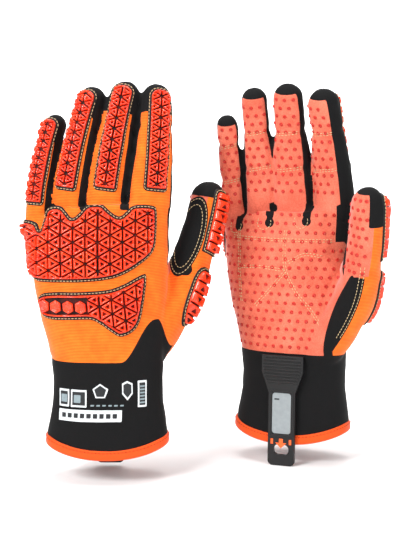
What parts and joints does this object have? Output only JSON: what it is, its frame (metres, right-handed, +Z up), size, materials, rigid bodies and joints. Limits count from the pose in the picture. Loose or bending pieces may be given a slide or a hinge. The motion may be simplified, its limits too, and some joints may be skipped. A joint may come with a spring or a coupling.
{
  "type": "work gloves",
  "caption": "Impact work gloves, left and right: knit backs under moulded rubber guards, dotted suede palms, dark cuffs with pull tabs; fingers, thumbs and tabs fold.",
  "frame": {"origin": "centre of the left glove's cuff opening, at the height of the hem's sides", "axes": "+Z up from the cuff to the fingertips, +X from the left glove to the right glove, +Y away from the side that shows the left glove's back"},
  "size_m": [0.2803, 0.1291, 0.3062],
  "materials": {
    "orange_knit": "ribbed knit",
    "coral_palm": "synthetic suede with printed grip dots",
    "black_neoprene": "smooth jersey over foam",
    "orange_binding": "woven tape",
    "orange_rubber": "satin moulded rubber",
    "black_backing": "woven tape",
    "black_rubber": "matt moulded rubber",
    "grey_plate": "matt print"
  },
  "bodies": {
    "left_hand": {"left_back_panel": "orange_knit", "left_palm_panel": "coral_palm", "left_cuff": "black_neoprene", "left_cuff_hem": "orange_binding", "left_knuckle_guard": "orange_rubber", "left_metacarpal_guard": "orange_rubber", "left_thumb_heel_guard": "orange_rubber", "left_guard_backing": "black_backing"},
    "left_index": {"left_index_palm": "coral_palm", "left_index_back": "orange_knit", "left_index_guard": "orange_rubber", "left_index_backing": "black_backing"},
    "left_middle": {"left_middle_palm": "coral_palm", "left_middle_back": "orange_knit", "left_middle_guard": "orange_rubber", "left_middle_backing": "black_backing"},
    "left_ring": {"left_ring_palm": "coral_palm", "left_ring_back": "orange_knit", "left_ring_guard": "orange_rubber", "left_ring_backing": "black_backing"},
    "left_little": {"left_little_palm": "coral_palm", "left_little_back": "orange_knit", "left_little_guard": "orange_rubber", "left_little_backing": "black_backing"},
    "left_thumb": {"left_thumb_palm": "coral_palm", "left_thumb_back": "orange_knit", "left_thumb_guard": "orange_rubber", "left_thumb_backing": "black_backing"},
    "left_tab": {"left_pull_tab": "black_rubber", "left_name_plate": "grey_plate"},
    "right_hand": {"right_back_panel": "orange_knit", "right_palm_panel": "coral_palm", "right_cuff": "black_neoprene", "right_cuff_hem": "orange_binding", "right_knuckle_guard": "orange_rubber", "right_metacarpal_guard": "orange_rubber", "right_thumb_heel_guard": "orange_rubber", "right_guard_backing": "black_backing"},
    "right_index": {"right_index_palm": "coral_palm", "right_index_back": "orange_knit", "right_index_guard": "orange_rubber", "right_index_backing": "black_backing"},
    "right_middle": {"right_middle_palm": "coral_palm", "right_middle_back": "orange_knit", "right_middle_guard": "orange_rubber", "right_middle_backing": "black_backing"},
    "right_ring": {"right_ring_palm": "coral_palm", "right_ring_back": "orange_knit", "right_ring_guard": "orange_rubber", "right_ring_backing": "black_backing"},
    "right_little": {"right_little_palm": "coral_palm", "right_little_back": "orange_knit", "right_little_guard": "orange_rubber", "right_little_backing": "black_backing"},
    "right_thumb": {"right_thumb_palm": "coral_palm", "right_thumb_back": "orange_knit", "right_thumb_guard": "orange_rubber", "right_thumb_backing": "black_backing"},
    "right_tab": {"right_pull_tab": "black_rubber", "right_name_plate": "grey_plate"}
  },
  "joints": [
    {"name": "gloves_apart", "type": "slide", "parent": "left_hand", "child": "right_hand", "axis": [1, 0, 0], "range_m": [0, 0.15]},
    {"name": "left_index_fold", "type": "hinge", "parent": "left_hand", "child": "left_index", "pos_m": [0.0335, 0.0122, 0.1863], "axis": [-1, 0, 0], "range_deg": [-8, 50], "stiffness_Nm_per_rad": 0.2},
    {"name": "left_middle_fold", "type": "hinge", "parent": "left_hand", "child": "left_middle", "pos_m": [0.0005, 0.0122, 0.1863], "axis": [-1, 0, 0], "range_deg": [-8, 60], "stiffness_Nm_per_rad": 0.2},
    {"name": "left_ring_fold", "type": "hinge", "parent": "left_hand", "child": "left_ring", "pos_m": [-0.027, 0.0112, 0.1863], "axis": [-1, 0, 0], "range_deg": [-8, 55], "stiffness_Nm_per_rad": 0.2},
    {"name": "left_little_fold", "type": "hinge", "parent": "left_hand", "child": "left_little", "pos_m": [-0.0508, 0.0096, 0.1753], "axis": [-1, 0, 0], "range_deg": [-5, 45], "stiffness_Nm_per_rad": 0.2},
    {"name": "left_thumb_fold", "type": "hinge", "parent": "left_hand", "child": "left_thumb", "pos_m": [0.05281, 0.03133, 0.14082], "axis": [-0.4135, -0.8314, 0.3711], "range_deg": [-8, 30], "stiffness_Nm_per_rad": 0.2},
    {"name": "left_tab_lift", "type": "hinge", "parent": "left_hand", "child": "left_tab", "pos_m": [0, 0.0259, 0.063], "axis": [1, 0, 0], "range_deg": [0, 90]},
    {"name": "right_index_fold", "type": "hinge", "parent": "right_hand", "child": "right_index", "pos_m": [0.17431, 0.03708, 0.1833], "axis": [0.9397, -0.342, 0], "range_deg": [-8, 50], "stiffness_Nm_per_rad": 0.2},
    {"name": "right_middle_fold", "type": "hinge", "parent": "right_hand", "child": "right_middle", "pos_m": [0.1433, 0.04836, 0.1833], "axis": [0.9397, -0.342, 0], "range_deg": [-8, 60], "stiffness_Nm_per_rad": 0.2},
    {"name": "right_ring_fold", "type": "hinge", "parent": "right_hand", "child": "right_ring", "pos_m": [0.1178, 0.05871, 0.1833], "axis": [0.9397, -0.342, 0], "range_deg": [-8, 55], "stiffness_Nm_per_rad": 0.2},
    {"name": "right_little_fold", "type": "hinge", "parent": "right_hand", "child": "right_little", "pos_m": [0.09598, 0.06835, 0.1723], "axis": [0.9397, -0.342, 0], "range_deg": [-5, 32], "stiffness_Nm_per_rad": 0.2},
    {"name": "right_thumb_fold", "type": "hinge", "parent": "right_hand", "child": "right_thumb", "pos_m": [0.18279, 0.01405, 0.13646], "axis": [0.1123, -0.9423, -0.3155], "range_deg": [-8, 30], "stiffness_Nm_per_rad": 0.2},
    {"name": "right_tab_lift", "type": "hinge", "parent": "right_hand", "child": "right_tab", "pos_m": [0.13814, 0.03566, 0.06], "axis": [-0.9397, 0.342, 0], "range_deg": [0, 90]}
  ]
}
